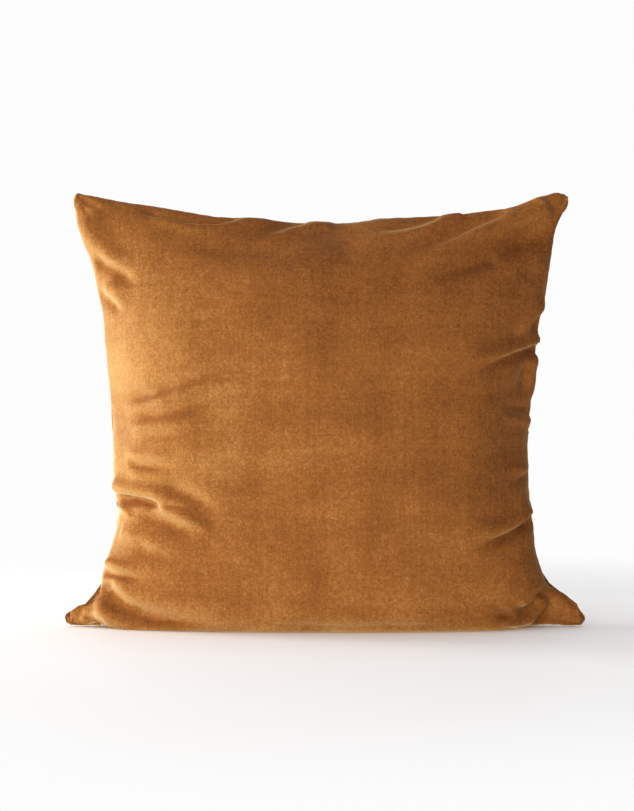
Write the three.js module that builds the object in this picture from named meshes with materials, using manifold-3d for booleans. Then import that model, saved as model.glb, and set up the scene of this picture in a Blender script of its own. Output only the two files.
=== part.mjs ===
// A square throw cushion standing on its bottom edge: a velvet cover of two panels, sewn on three sides and
// closed by a concealed zip along the fourth, over a stuffed insert with a casing of its own.
// Millimetres. X runs across the cushion, Y through its thickness with the front facing -Y, and Z is up.
// The origin is the middle of the base, on the surface that the cushion stands on.
import * as THREE from "three";
import { mergeVertices } from "three/addons/utils/BufferGeometryUtils.js";
import Module from "manifold-3d";

const wasm = await Module();
wasm.setup();

// Outline of the seam, seen from the front
const halfWaist = 196; // half width where the sides pull in most
const waistHeight = 130;
const halfTop = 235; // half distance between the top corner tips
const halfFoot = 247.5; // half distance between the tips of the two ears on the floor
const cornerHeight = 411;
const topDip = 27; // how far the top seam sags between its corners
const footFlare = 26; // how far the sides spread between the waist and the ears
const earReach = halfFoot - halfWaist - footFlare;
const earHeight = 22;

// Thickness
const middleHeight = 170; // height of the thickest part
const coverBulge = 93.5; // how far the front stands out from the seam plane, without the seam roll
const seamRoll = 4.5; // half thickness of the empty rim beside a seam
const baseSink = 53; // how much of the round underside the floor flattens
const valleyDepth = 4; // the bottom seam is drawn up this far between the two feet of the base
const valleyHalfWidth = 22;
const valleyEnd = 212; // the valley runs level this far out, then fades
const valleyFade = 26;

// Cloth
const velvet = 1.2;
const cambric = 0.7;
const seamGap = 0.15; // half the gap that touching pieces keep
const pieceGap = 0.3;
const coverAllowance = 8;
const casingAllowance = 8;
const threadWidth = 0.5;
const threadInset = 4;

// Insert, inside the cover
const insertInset = 15;
const insertBulge = 90;
const insertRoll = 2.5;
const insertFloor = 13; // the insert bridges the zip
const fillInset = 25;
const fillBulge = 86.5;
const fillRoll = 2;
const fillFloor = 15;

// Zip, in the valley of the base
const slotLeft = -208;
const slotRight = 203;
const slotHalfWidth = 5;
const slotTop = 17;
const hemWidth = 10;
const hemHeight = 5.8;
const tapeHeight = 6.6; // height of the tapes' middle plane
const tapeThickness = 0.6;
const tapeInner = 2.3;
const tapeOuter = 16;
const tapeLeft = -212;
const tapeRight = 208;
const coilInner = 0.6;
const coilOuter = 2;
const coilHalfHeight = 1;
const coilLeft = -198;
const coilRight = 194.5;
const stopLength = 3;
const sliderX = 188; // the zip is closed at rest
const sliderLength = 10;
const sliderHalfWidth = 3.5;
const plate = 1;
const lugReach = 2.3; // how far the lug hangs under the slider
const lugHalfLength = 2;
const lugHalfWidth = 0.8;
const pullThickness = 0.8;
const pullLength = 22;
const pullHalfWidth = 3;

// Facets between opposite seams
const coverSteps = 24;
const insertSteps = 16;
const threadSteps = 16;

const clamp01 = (x) => Math.min(1, Math.max(0, x));
const smooth = (x) => clamp01(x) ** 2 * (3 - 2 * clamp01(x));

const coverForm = { inset: 0, bulge: coverBulge, roll: seamRoll, floor: 0, valley: valleyDepth, ear: earReach };
const casingForm = { inset: insertInset, bulge: insertBulge, roll: insertRoll, floor: insertFloor, valley: 0, ear: 0 };
const fillForm = { inset: fillInset, bulge: fillBulge, roll: fillRoll, floor: fillFloor, valley: 0, ear: 0 };

// The same form, drawn in by a distance all round
function drawnIn(form, by) {
  return { ...form, inset: form.inset + by, roll: form.roll - by, floor: form.floor + by };
}

// Half width of the seam outline at a height
function halfWidth(z) {
  const rise = z - waistHeight;
  if (rise > 0) return halfWaist + (halfTop - halfWaist) * (rise / (cornerHeight - waistHeight)) ** 2;
  return halfWaist + footFlare * (rise / waistHeight) ** 2;
}

// A point on the front of a form. s runs from the left seam to the right one and t from the bottom to the top,
// both from -1 to 1.
function frontPoint(form, s, t) {
  const across = Math.sin((s * Math.PI) / 2);
  const up = Math.sin((t * Math.PI) / 2);
  const inX = Math.cos((s * Math.PI) / 2);
  const inZ = Math.cos((t * Math.PI) / 2);
  const top = cornerHeight - topDip * (1 - across ** 2) - form.inset;
  const below = middleHeight - form.floor + baseSink * (1 - across ** 4);
  const raw = middleHeight + up * (up > 0 ? top - middleHeight : below);
  const ear = form.ear * smooth((earHeight - raw) / earHeight) * Math.abs(across) ** 8;
  const x = across * (halfWidth(Math.max(raw, 0)) + ear - form.inset);
  const rim = Math.sqrt(clamp01(Math.min(inX, inZ) / 0.1));
  const y = -(form.bulge * inX * inZ + form.roll * rim);
  const level = smooth((valleyEnd + valleyFade - Math.abs(x)) / valleyFade);
  const lift = form.valley * level * clamp01(1 + y / valleyHalfWidth) ** 2;
  return new THREE.Vector3(x, y, Math.max(raw, form.floor) + (up < 0 ? lift : 0));
}

// A square net of points on the front of a form, with its edge held in the plane y = edgeY
function net(form, steps, edgeY) {
  const points = [];
  for (let j = 0; j <= steps; j++) {
    for (let i = 0; i <= steps; i++) {
      const p = frontPoint(form, (2 * i) / steps - 1, (2 * j) / steps - 1);
      const onEdge = i === 0 || j === 0 || i === steps || j === steps;
      points.push(onEdge ? p.setY(edgeY) : p.setY(Math.min(p.y, edgeY)));
    }
  }
  return points;
}

// The indices of a net's edge, once round
function rimOf(steps) {
  const row = steps + 1;
  const indices = [];
  for (let i = 0; i < steps; i++) indices.push(i);
  for (let j = 0; j < steps; j++) indices.push(j * row + steps);
  for (let i = steps; i > 0; i--) indices.push(steps * row + i);
  for (let j = steps; j > 0; j--) indices.push(j * row);
  return indices;
}

function netFaces(steps, first, facesForward) {
  const faces = [];
  for (let j = 0; j < steps; j++) {
    for (let i = 0; i < steps; i++) {
      const a = first + j * (steps + 1) + i;
      const [b, c, d] = [a + 1, a + steps + 2, a + steps + 1];
      faces.push(...(facesForward ? [a, b, c, a, c, d] : [a, c, b, a, d, c]));
    }
  }
  return faces;
}

function indexed(points, faces) {
  const geometry = new THREE.BufferGeometry().setFromPoints(points);
  geometry.setIndex(faces);
  return geometry;
}

// One cloth panel: an outer skin, the seam allowance turned in behind its edge, and an inner skin
function panel(form, thickness, allowance, steps) {
  const behind = -seamGap - thickness;
  const outer = net(form, steps, -seamGap);
  const inner = net(drawnIn(form, thickness), steps, behind);
  const turned = net(drawnIn(form, allowance), steps, -seamGap);
  const rim = rimOf(steps);
  const nearEdge = rim.map((k) => turned[k].clone());
  const farEdge = rim.map((k) => turned[k].clone().setY(behind));
  const points = [...outer, ...inner, ...nearEdge, ...farEdge];
  const faces = [...netFaces(steps, 0, true), ...netFaces(steps, outer.length, false)];
  const nearFirst = 2 * outer.length;
  const rings = [
    rim,
    rim.map((_, k) => nearFirst + k),
    rim.map((_, k) => nearFirst + rim.length + k),
    rim.map((k) => outer.length + k),
  ];
  for (let r = 0; r < rings.length - 1; r++) {
    for (let k = 0; k < rim.length; k++) {
      const next = (k + 1) % rim.length;
      const [a, b] = [rings[r][k], rings[r][next]];
      const [c, d] = [rings[r + 1][next], rings[r + 1][k]];
      faces.push(a, c, b, a, d, c);
    }
  }
  return indexed(points, faces);
}

// A closed body: the front of a form and its mirror image, joined at the rim
function closedBody(form, steps) {
  const front = net(form, steps, 0);
  const back = front.map((p) => new THREE.Vector3(p.x, -p.y, p.z));
  const faces = [...netFaces(steps, 0, true), ...netFaces(steps, front.length, false)];
  return indexed([...front, ...back], faces);
}

function box(x0, x1, y0, y1, z0, z1) {
  const geometry = new THREE.BoxGeometry(x1 - x0, y1 - y0, z1 - z0);
  return geometry.translate((x0 + x1) / 2, (y0 + y1) / 2, (z0 + z1) / 2);
}

// Joining and cutting closed geometries
function toSolid(geometry) {
  const bare = geometry.clone();
  bare.deleteAttribute("normal");
  bare.deleteAttribute("uv");
  const merged = mergeVertices(bare, 1e-4);
  return new wasm.Manifold(
    new wasm.Mesh({
      numProp: 3,
      vertProperties: new Float32Array(merged.attributes.position.array),
      triVerts: new Uint32Array(merged.index.array),
    }),
  );
}

function toGeometry(solid) {
  const mesh = solid.getMesh();
  const geometry = new THREE.BufferGeometry();
  geometry.setAttribute("position", new THREE.BufferAttribute(mesh.vertProperties, 3));
  geometry.setIndex(new THREE.BufferAttribute(mesh.triVerts, 1));
  geometry.computeVertexNormals();
  return geometry;
}

const joined = (...parts) => toGeometry(parts.map(toSolid).reduce((a, b) => a.add(b)));
const cut = (from, ...tools) => toGeometry(tools.map(toSolid).reduce((a, b) => a.subtract(b), toSolid(from)));

// A velvet panel, with the zip's slot left open in its bottom edge and its hem folded back beside the slot
function coverPanel() {
  const whole = panel(coverForm, velvet, coverAllowance, coverSteps);
  const slotted = cut(whole, box(slotLeft, slotRight, -slotHalfWidth, slotHalfWidth, -1, slotTop));
  const edge = -slotHalfWidth;
  const fold = box(slotLeft, slotRight, edge - velvet, edge, 2.8, hemHeight);
  const hem = box(slotLeft, slotRight, edge - hemWidth, edge, hemHeight - velvet, hemHeight);
  return joined(slotted, fold, hem);
}

// The stuffing leaves room for the casing's bottom seam allowance
function fillBody() {
  const slit = box(-halfFoot, halfFoot, -1.8, 1.8, 0, insertFloor + cambric + casingAllowance + 2);
  return cut(closedBody(fillForm, insertSteps), slit);
}

// A line of stitches beside a seam, on the inner face of the back panel's allowance
function threadAlong(form, from, to, thickness) {
  const drawn = drawnIn(form, threadInset);
  const y = seamGap + thickness + pieceGap + threadWidth / 2;
  const points = [];
  for (let k = 0; k <= threadSteps; k++) {
    const s = from[0] + ((to[0] - from[0]) * k) / threadSteps;
    const t = from[1] + ((to[1] - from[1]) * k) / threadSteps;
    points.push(frontPoint(drawn, s, t).setY(y));
  }
  const half = threadWidth / 2;
  const section = new THREE.Shape([
    new THREE.Vector2(-half, -half),
    new THREE.Vector2(half, -half),
    new THREE.Vector2(half, half),
    new THREE.Vector2(-half, half),
  ]);
  const extrudePath = new THREE.CatmullRomCurve3(points);
  return new THREE.ExtrudeGeometry(section, { steps: 2 * threadSteps, bevelEnabled: false, extrudePath });
}

// A polygon in the plane of Y and Z, drawn out along X about a middle x
function alongX(outline, length, x) {
  const shape = new THREE.Shape(outline.map(([y, z]) => new THREE.Vector2(y, z)));
  const geometry = new THREE.ExtrudeGeometry(shape, { depth: length, bevelEnabled: false });
  const turn = new THREE.Matrix4().makeBasis(
    new THREE.Vector3(0, 1, 0),
    new THREE.Vector3(0, 0, 1),
    new THREE.Vector3(1, 0, 0),
  );
  return geometry.applyMatrix4(turn).translate(x - length / 2, 0, 0);
}

// Slider: two plates joined by a web, with flanges that hold the coils and leave slots for the tapes
function sliderBody() {
  const w = sliderHalfWidth;
  const channel = coilHalfHeight + pieceGap;
  const outside = channel + plate;
  const slot = tapeThickness / 2 + 0.35;
  const web = coilInner - pieceGap;
  const flange = w - 1;
  const upperHalf = [
    [web, channel],
    [flange, channel],
    [flange, slot],
    [w, slot],
    [w, outside - 0.5],
    [w - 0.5, outside],
  ];
  const flip = (points, y, z) => points.map((p) => [y * p[0], z * p[1]]);
  const outline = [
    ...upperHalf,
    ...flip(upperHalf, -1, 1).reverse(),
    ...flip(upperHalf, -1, -1),
    ...flip(upperHalf, 1, -1).reverse(),
  ];
  const body = alongX(outline, sliderLength, sliderX).translate(0, 0, tapeHeight);
  const under = tapeHeight - outside;
  const lug = box(
    sliderX - lugHalfLength, sliderX + lugHalfLength,
    -lugHalfWidth, lugHalfWidth,
    under - lugReach, under + plate / 2,
  );
  const eye = box(sliderX - 0.9, sliderX + 0.9, -w, w, pullHeight() - 0.7, under);
  return cut(joined(body, lug), eye);
}

// Height of the pull's pivot, in the lug's eye
function pullHeight() {
  return tapeHeight - coilHalfHeight - pieceGap - plate - 0.7;
}

// Pull: a plate with a round end and a window for the lug, lying along the chain towards -X
function pullTab() {
  const low = pullHeight() - pullThickness / 2;
  const high = low + pullThickness;
  const roundX = sliderX - pullLength + pullHalfWidth;
  const barX = sliderX + 0.4;
  const disc = (radius, height) =>
    new THREE.CylinderGeometry(radius, radius, height, 24).rotateX(Math.PI / 2).translate(roundX, 0, pullHeight());
  const plateWide = box(roundX, sliderX - 4.2, -pullHalfWidth, pullHalfWidth, low, high);
  const plateNarrow = box(sliderX - 5, barX, -2, 2, low, high);
  const tab = joined(plateWide, plateNarrow, disc(pullHalfWidth, pullThickness));
  const lugWindow = box(barX - 3.8, barX - 0.8, -1.2, 1.2, low - 1, high + 1);
  return cut(tab, lugWindow, disc(1.2, 3));
}

const looks = {
  velvet: { color: 0xa5652d, roughness: 0.85, metalness: 0 },
  cambric: { color: 0xece7dc, roughness: 0.9, metalness: 0 },
  fibre: { color: 0xf6f4ef, roughness: 1, metalness: 0 },
  thread: { color: 0x9a5f2b, roughness: 0.7, metalness: 0 },
  tape: { color: 0x9a602c, roughness: 0.8, metalness: 0 },
  nylon: { color: 0x8f5726, roughness: 0.4, metalness: 0 },
  metal: { color: 0x8c7a55, roughness: 0.3, metalness: 1 },
  satin: { color: 0xf2f0ea, roughness: 0.45, metalness: 0 },
};

const cushion = new THREE.Group();

function add(name, geometry, look) {
  const mesh = new THREE.Mesh(geometry, new THREE.MeshStandardMaterial(looks[look]));
  mesh.name = name;
  cushion.add(mesh);
  return mesh;
}

// Cover and insert casing: the back panel of each is the mirror image of its front
const velvetPanel = coverPanel();
add("cover_front_panel", velvetPanel, "velvet");
add("cover_back_panel", velvetPanel, "velvet").scale.y = -1;
const cambricPanel = panel(casingForm, cambric, casingAllowance, insertSteps);
add("insert_casing_front", cambricPanel, "cambric");
add("insert_casing_back", cambricPanel, "cambric").scale.y = -1;
add("insert_fill", fillBody(), "fibre");

// Stitching of the cover's sewn seams. The bottom seam is sewn only past the ends of the zip.
const nearCorner = 0.9;
const zipEnd = 0.72;
const coverLow = -0.8;
const coverSeams = {
  left: [[-1, coverLow], [-1, nearCorner]],
  right: [[1, coverLow], [1, nearCorner]],
  top: [[-nearCorner, 1], [nearCorner, 1]],
  bottom_left: [[-nearCorner, -1], [-zipEnd, -1]],
  bottom_right: [[zipEnd, -1], [nearCorner, -1]],
};
for (const [side, [from, to]] of Object.entries(coverSeams)) {
  add("cover_seam_thread_" + side, threadAlong(coverForm, from, to, velvet), "thread");
}
const insertLow = -0.66;
const insertSeams = {
  left: [[-1, insertLow], [-1, nearCorner]],
  right: [[1, insertLow], [1, nearCorner]],
  top: [[-nearCorner, 1], [nearCorner, 1]],
};
for (const [side, [from, to]] of Object.entries(insertSeams)) {
  add("insert_seam_thread_" + side, threadAlong(casingForm, from, to, cambric), "thread");
}

// Zip: each half has a tape, a coil, a line of stitches and a top stop
const tapeLow = tapeHeight - tapeThickness / 2;
const tapeTop = tapeHeight + tapeThickness / 2;
const coilLow = tapeHeight - coilHalfHeight;
const coilTop = tapeHeight + coilHalfHeight;
for (const [half, side] of [["front", -1], ["back", 1]]) {
  const across = (near, far) => [Math.min(side * near, side * far), Math.max(side * near, side * far)];
  const strip = (x0, x1, near, far, z0, z1) => box(x0, x1, ...across(near, far), z0, z1);
  add("zip_tape_" + half, strip(tapeLeft, tapeRight, tapeInner, tapeOuter, tapeLow, tapeTop), "tape");
  add("zip_coil_" + half, strip(coilLeft, coilRight, coilInner, coilOuter, coilLow, coilTop), "nylon");
  const stitchLow = tapeTop + pieceGap;
  const stitches = strip(slotLeft, slotRight, 9.5, 9.5 + threadWidth, stitchLow, stitchLow + threadWidth);
  add("zip_stitching_" + half, stitches, "thread");
  const stopLeft = coilRight + pieceGap;
  const stop = strip(stopLeft, stopLeft + stopLength, coilInner, coilOuter, coilLow - 0.2, coilTop + 0.2);
  add("zip_top_stop_" + half, stop, "metal");
}
const bottomStopRight = coilLeft - pieceGap;
const bottomStop = box(bottomStopRight - stopLength, bottomStopRight, -coilOuter, coilOuter, coilLow - 0.2, coilTop + 0.2);
add("zip_bottom_stop", bottomStop, "metal");
add("zip_slider", sliderBody(), "metal");
add("zip_pull_tab", pullTab(), "metal");

// Blank labels: one sewn in beside the zip, one in the insert's bottom seam
add("cover_care_label", box(-110, -82, 16.5, 46, 2.2, 2.7), "satin");
add("insert_label", box(60, 84, -45, -2.5, 11.9, 12.4), "satin");

export default cushion;
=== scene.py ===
import math
import random

import bmesh
import bpy
import numpy as np
from mathutils import Matrix, Vector
from mathutils.bvhtree import BVHTree


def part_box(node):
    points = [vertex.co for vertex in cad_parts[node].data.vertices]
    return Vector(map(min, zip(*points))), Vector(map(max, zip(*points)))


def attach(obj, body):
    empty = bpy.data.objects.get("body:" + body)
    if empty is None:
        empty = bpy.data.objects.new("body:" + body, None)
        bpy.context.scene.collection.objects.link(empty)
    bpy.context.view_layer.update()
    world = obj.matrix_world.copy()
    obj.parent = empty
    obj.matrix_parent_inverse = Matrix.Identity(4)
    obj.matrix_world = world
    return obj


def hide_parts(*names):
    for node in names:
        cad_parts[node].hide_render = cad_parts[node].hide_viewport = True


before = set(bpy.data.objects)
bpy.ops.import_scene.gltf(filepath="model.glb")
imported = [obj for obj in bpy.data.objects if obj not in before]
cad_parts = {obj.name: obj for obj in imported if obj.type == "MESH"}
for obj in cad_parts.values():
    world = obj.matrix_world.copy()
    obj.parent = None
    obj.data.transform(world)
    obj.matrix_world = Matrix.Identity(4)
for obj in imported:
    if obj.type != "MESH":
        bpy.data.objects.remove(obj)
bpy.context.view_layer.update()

scene = bpy.context.scene
print("frame loaded:", len(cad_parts), "nodes")


# ---- camera, floor and light

room = {
    "cameraPlace": (-0.0076, -2.2, 0.210),
    "lens": 102.6,
    "floorRadius": 3.0,
    "floorFade": (0.42, 1.15),  # where the floor starts to melt into the background, and where it's gone
    "contact": 0.012,  # light rays shorter than this run between the base and the floor it stands on
    "floorGap": 0.0004,  # just clear of the base, so the two surfaces never share a plane
    "floorColour": (0.95, 0.95, 0.95, 1),
    "backdropColour": (0.982, 0.982, 0.985, 1),
    "ambient": 0.61,
    "lights": {
        "windowLeft": {"place": (-3.0, -0.70, 0.72), "aim": (-0.05, 0, 0.17), "size": (1.2, 1.1), "power": 31,
                       "colour": (1.0, 0.99, 0.965)},
        "windowBack": {"place": (-1.35, 0.45, 0.45), "aim": (-0.2, 0, 0.2), "size": (0.5, 0.9), "power": 15,
                       "colour": (1.0, 0.99, 0.97)},
        "frontFill": {"place": (-0.7, -2.8, 0.5), "aim": (0, 0, 0.15), "size": (1.6, 1.2), "power": 34,
                      "colour": (1.0, 0.99, 0.98)},
        "ceiling": {"place": (0.1, 0.3, 2.6), "aim": (0, 0, 0), "size": (2.4, 2.4), "power": 12,
                    "colour": (1.0, 1.0, 1.0)},
    },
}


def newMaterial(name):
    material = bpy.data.materials.new(name)
    material.use_nodes = True
    tree = material.node_tree
    return material, tree, tree.nodes["Principled BSDF"]


def node(tree, kind, **values):
    made = tree.nodes.new(kind)
    for key, value in values.items():
        if key in made.inputs:
            made.inputs[key].default_value = value
        else:
            setattr(made, key, value)
    return made


def ramp(tree, source, stops):
    made = tree.nodes.new("ShaderNodeValToRGB")
    elements = made.color_ramp.elements
    while len(elements) < len(stops):
        elements.new(0.5)
    for element, (place, colour) in zip(elements, stops):
        element.position = place
        element.color = (*colour, 1) if len(colour) == 3 else colour
    tree.links.new(source, made.inputs["Fac"])
    return made.outputs["Color"]


def mixColour(tree, blend, amount, first, second):
    made = tree.nodes.new("ShaderNodeMix")
    made.data_type = "RGBA"
    made.blend_type = blend
    for socket, value in ((made.inputs[0], amount), (made.inputs[6], first), (made.inputs[7], second)):
        if isinstance(value, bpy.types.NodeSocket):
            tree.links.new(value, socket)
        else:
            socket.default_value = value
    return made.outputs[2]


def maths(tree, operation, first, second=0.0, third=0.0, clamp=False):
    made = tree.nodes.new("ShaderNodeMath")
    made.operation = operation
    made.use_clamp = clamp
    for socket, value in zip(made.inputs, (first, second, third)):
        if isinstance(value, bpy.types.NodeSocket):
            tree.links.new(value, socket)
        else:
            socket.default_value = value
    return made.outputs[0]


def objectCoordinates(tree, stretch=(1, 1, 1), turn=(0, 0, 0)):
    place = tree.nodes.new("ShaderNodeTexCoord")
    mapping = node(tree, "ShaderNodeMapping")
    mapping.inputs["Scale"].default_value = stretch
    mapping.inputs["Rotation"].default_value = turn
    tree.links.new(place.outputs["Object"], mapping.inputs["Vector"])
    return mapping.outputs["Vector"]


def noise(tree, where, scale, detail=3.0, roughness=0.55, distortion=0.0):
    made = node(tree, "ShaderNodeTexNoise", Scale=scale, Detail=detail, Roughness=roughness,
                Distortion=distortion)
    tree.links.new(where, made.inputs["Vector"])
    return made.outputs["Fac"]


def bump(tree, height, strength, distance, before=None):
    made = node(tree, "ShaderNodeBump", Strength=strength, Distance=distance)
    tree.links.new(height, made.inputs["Height"])
    if before is not None:
        tree.links.new(before, made.inputs["Normal"])
    return made.outputs["Normal"]


def buildRoom():
    world = bpy.data.worlds.new("studio")
    scene.world = world
    world.use_nodes = True
    tree = world.node_tree
    tree.nodes.clear()
    seen = node(tree, "ShaderNodeBackground", Color=room["backdropColour"], Strength=1.0)
    lit = node(tree, "ShaderNodeBackground", Color=room["backdropColour"], Strength=room["ambient"])
    path = tree.nodes.new("ShaderNodeLightPath")
    mix = tree.nodes.new("ShaderNodeMixShader")
    out = tree.nodes.new("ShaderNodeOutputWorld")
    tree.links.new(path.outputs["Is Camera Ray"], mix.inputs[0])
    tree.links.new(lit.outputs[0], mix.inputs[1])
    tree.links.new(seen.outputs[0], mix.inputs[2])
    tree.links.new(mix.outputs[0], out.inputs["Surface"])

    bm = bmesh.new()
    bmesh.ops.create_circle(bm, cap_ends=True, segments=96, radius=room["floorRadius"])
    mesh = bpy.data.meshes.new("floor")
    bm.to_mesh(mesh)
    bm.free()
    floor = bpy.data.objects.new("floor", mesh)
    scene.collection.objects.link(floor)
    material, tree, shader = newMaterial("paleFloor")
    shader.inputs["Base Color"].default_value = room["floorColour"]
    shader.inputs["Roughness"].default_value = 0.55
    shader.inputs["Specular IOR Level"].default_value = 0.25
    place = tree.nodes.new("ShaderNodeTexCoord")
    length = node(tree, "ShaderNodeVectorMath", operation="LENGTH")
    tree.links.new(place.outputs["Object"], length.inputs[0])
    fade = tree.nodes.new("ShaderNodeMapRange")
    fade.interpolation_type = "SMOOTHSTEP"
    fade.inputs["From Min"].default_value, fade.inputs["From Max"].default_value = room["floorFade"]
    tree.links.new(length.outputs["Value"], fade.inputs["Value"])
    # from below the floor isn't there: neither for the eye nor for the light that reaches the cushion's base
    sides = tree.nodes.new("ShaderNodeNewGeometry")
    path = tree.nodes.new("ShaderNodeLightPath")
    short = maths(tree, "LESS_THAN", path.outputs["Ray Length"], room["contact"])
    gone = maths(tree, "MAXIMUM", sides.outputs["Backfacing"], short)
    gone = maths(tree, "MAXIMUM", fade.outputs["Result"], gone)
    clear = tree.nodes.new("ShaderNodeBsdfTransparent")
    mix = tree.nodes.new("ShaderNodeMixShader")
    tree.links.new(gone, mix.inputs[0])
    tree.links.new(shader.outputs[0], mix.inputs[1])
    tree.links.new(clear.outputs[0], mix.inputs[2])
    tree.links.new(mix.outputs[0], tree.nodes["Material Output"].inputs["Surface"])
    mesh.materials.append(material)
    floor.location.z = -room["floorGap"]

    for name, light in room["lights"].items():
        data = bpy.data.lights.new(name, "AREA")
        data.shape = "RECTANGLE"
        data.size, data.size_y = light["size"]
        data.energy = light["power"]
        data.color = light["colour"]
        lamp = bpy.data.objects.new(name, data)
        scene.collection.objects.link(lamp)
        lamp.location = light["place"]
        lamp.rotation_euler = (Vector(light["aim"]) - lamp.location).to_track_quat("-Z", "Y").to_euler()

    data = bpy.data.cameras.new("camera")
    data.lens = room["lens"]
    data.sensor_width = 36
    data.clip_start, data.clip_end = 0.01, 50
    camera = bpy.data.objects.new("camera", data)
    scene.collection.objects.link(camera)
    camera.location = room["cameraPlace"]
    camera.rotation_euler = (math.pi / 2, 0, 0)
    scene.camera = camera
    scene.view_settings.view_transform = "Standard"


buildRoom()
print("camera, floor and lights ready")


# ---- shared helpers for the pieces

def finishPiece(piece, node, body="cushion"):
    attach(piece, body)
    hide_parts(*([node] if isinstance(node, str) else node))
    return piece


def objectFrom(bm, name, material, smooth=True):
    mesh = bpy.data.meshes.new(name)
    bm.to_mesh(mesh)
    bm.free()
    for face in mesh.polygons:
        face.use_smooth = smooth
    mesh.materials.append(material)
    piece = bpy.data.objects.new(name, mesh)
    scene.collection.objects.link(piece)
    return piece


def smoothStep(low, high, value):
    t = np.clip((value - low) / (high - low), 0, 1)
    return t * t * (3 - 2 * t)


def curveThrough(points, steps=24):
    # a smooth line through points given in millimetres, as metres
    p = np.array(points, float) / 1000
    p = np.vstack([2 * p[0] - p[1], p, 2 * p[-1] - p[-2]])
    line = []
    for i in range(1, len(p) - 2):
        a, b, c, d = p[i - 1], p[i], p[i + 1], p[i + 2]
        for k in np.linspace(0, 1, steps, endpoint=False):
            line.append(0.5 * (2 * b + (c - a) * k + (2 * a - 5 * b + 4 * c - d) * k ** 2
                               + (3 * b - a - 3 * c + d) * k ** 3))
    line.append(p[-2])
    return np.array(line)


def alongCurve(line, share):
    # points at shares of the line's length
    run = np.concatenate([[0], np.cumsum(np.linalg.norm(np.diff(line, axis=0), axis=1))])
    where = np.asarray(share) * run[-1]
    return np.stack([np.interp(where, run, line[:, k]) for k in range(line.shape[1])], -1)


# ---- velvet

velvet = {
    "deep": (0.142, 0.044, 0.0100),
    "ochre": (0.318, 0.112, 0.0245),
    "bright": (0.60, 0.295, 0.085),
    "edge": (0.84, 0.70, 0.40, 1),  # painted sheen: the pale cream put into the base colour where the cloth turns away, on the side facing the lamps
    "paintedLightFacing": (-0.72, 0.0, -0.70),  # painted light and shade: cloth facing this way, left and down, is painted lighter, cloth facing away darker
    "pileScale": 820,
    "grainScale": 390,
    "mottleScale": 120,
    "cloudScale": 9.0,
    "lintScale": 46,
    "lint": (0.66, 0.46, 0.24, 1),
    "sheenTint": (1.0, 0.74, 0.34, 1),
    "sheenWeight": 0.34,
    "sheenRoughness": 0.32,
}


def velvetMaterial():
    material, tree, shader = newMaterial("ochreVelvet")
    plain = objectCoordinates(tree)
    pile = noise(tree, plain, velvet["pileScale"], 2.0, 0.7)
    grain = noise(tree, plain, velvet["grainScale"], 3, 0.65, 0.3)
    mottle = noise(tree, plain, velvet["mottleScale"], 3, 0.6, 0.6)
    cloud = noise(tree, plain, velvet["cloudScale"], 4, 0.55, 0.4)
    sweep = noise(tree, objectCoordinates(tree, (2.6, 4.0, 14.0), (0, math.radians(4), 0)), 1.0, 4, 0.6, 0.5)
    rows = noise(tree, objectCoordinates(tree, (14, 14, 420), (0, math.radians(0.6), 0)), 1.0, 2.0, 0.5)
    brushed = noise(tree, objectCoordinates(tree, (300, 60, 9), (0, math.radians(1.5), 0)), 1.0, 2.0, 0.5)
    # painted light and shade: the normal's lean towards the left and down goes into the tone, so the side facing the
    # lamps is lighter and the side away from them darker
    turned = tree.nodes.new("ShaderNodeTexCoord")
    along = node(tree, "ShaderNodeVectorMath", operation="DOT_PRODUCT")
    along.inputs[1].default_value = velvet["paintedLightFacing"]
    tree.links.new(turned.outputs["Normal"], along.inputs[0])
    paintedLightFacing = along.outputs["Value"]
    # the tone is random pile, grain, mottle and streaks, plus the painted light and shade of the normal term; the
    # ramp's deep and bright ends carry both
    tone = maths(tree, "MULTIPLY_ADD", pile, 0.44, -0.25)
    for source, share in ((grain, 0.42), (mottle, 0.16), (cloud, 0.26), (sweep, 0.36), (rows, 0.08),
                          (brushed, 0.10), (paintedLightFacing, 0.28)):
        tone = maths(tree, "MULTIPLY_ADD", source, share, tone)
    colour = ramp(tree, tone, [(0.40, velvet["deep"]), (0.68, velvet["ochre"]), (0.98, velvet["bright"])])
    # painted sheen: at grazing angles the base colour is mixed towards the pale edge colour, only where the cloth
    # faces left and down, the lit side
    facing = node(tree, "ShaderNodeLayerWeight", Blend=0.35)
    lean = maths(tree, "MULTIPLY_ADD", paintedLightFacing, 1.25, 0.06, clamp=True)
    edge = ramp(tree, facing.outputs["Facing"], [(0.16, (0, 0, 0)), (0.55, (0.16,) * 3), (0.93, (0.92,) * 3)])
    edge = maths(tree, "MULTIPLY", edge, lean)
    colour = mixColour(tree, "MIX", edge, colour, velvet["edge"])
    specks = node(tree, "ShaderNodeTexVoronoi", Scale=velvet["lintScale"])
    tree.links.new(plain, specks.inputs["Vector"])
    chosen = maths(tree, "GREATER_THAN", specks.outputs["Color"], 0.80)
    small = maths(tree, "LESS_THAN", specks.outputs["Distance"], 0.026)
    lint = maths(tree, "MULTIPLY", maths(tree, "MULTIPLY", chosen, small), 0.5)
    colour = mixColour(tree, "MIX", lint, colour, velvet["lint"])
    tree.links.new(colour, shader.inputs["Base Color"])
    rough = maths(tree, "MULTIPLY_ADD", grain, 0.2, 0.74)
    tree.links.new(rough, shader.inputs["Roughness"])
    shader.inputs["Specular IOR Level"].default_value = 0.06
    shader.inputs["Sheen Weight"].default_value = velvet["sheenWeight"]
    shader.inputs["Sheen Roughness"].default_value = velvet["sheenRoughness"]
    shader.inputs["Sheen Tint"].default_value = velvet["sheenTint"]
    lumps = bump(tree, grain, 0.30, 0.0006)
    fine = bump(tree, pile, 0.45, 0.0004, lumps)
    tree.links.new(fine, shader.inputs["Normal"])
    return material


velvetCloth = velvetMaterial()


# ---- the cover: two panels sewn together round the edge, then filled out by pressure

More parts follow.
